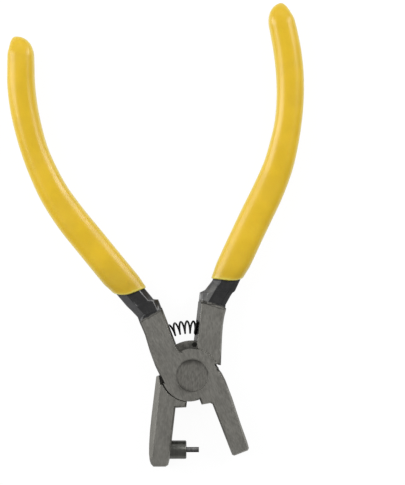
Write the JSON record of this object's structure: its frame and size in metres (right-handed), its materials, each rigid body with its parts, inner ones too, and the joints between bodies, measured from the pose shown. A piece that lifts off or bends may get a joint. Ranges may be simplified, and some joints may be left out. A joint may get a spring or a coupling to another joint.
{
  "type": "hole punch pliers",
  "caption": "Hand pliers that punch a small round hole: lap-jointed levers with dipped grips, a punch pin in a collar on one jaw, a die hole in the other and a coil return spring.",
  "frame": {"origin": "on the pivot axis, at the rear face of the rivet, which the pliers lie on", "axes": "+Z along the pivot axis to the front face, +Y towards the handles along their bisector"},
  "size_m": [0.0889, 0.1335, 0.0096],
  "materials": {
    "ground_steel": "ground",
    "black_steel": "black oxide",
    "yellow_vinyl": "satin dip"
  },
  "bodies": {
    "rear_half": {"rear_lever": "ground_steel", "right_grip": "yellow_vinyl", "pivot_rivet": "ground_steel", "punch_holder": "black_steel", "punch_pin": "ground_steel", "punch_back_screw": "black_steel", "return_spring": "black_steel"},
    "front_half": {"front_lever": "ground_steel", "left_grip": "yellow_vinyl"}
  },
  "joints": [
    {"name": "squeeze", "type": "hinge", "parent": "rear_half", "child": "front_half", "pos_m": [0, 0, 0], "axis": [0, 0, -1], "range_deg": [0, 27.8], "stiffness_Nm_per_rad": 0.16, "springref_deg": -5.73, "deforming": ["return_spring"]}
  ]
}
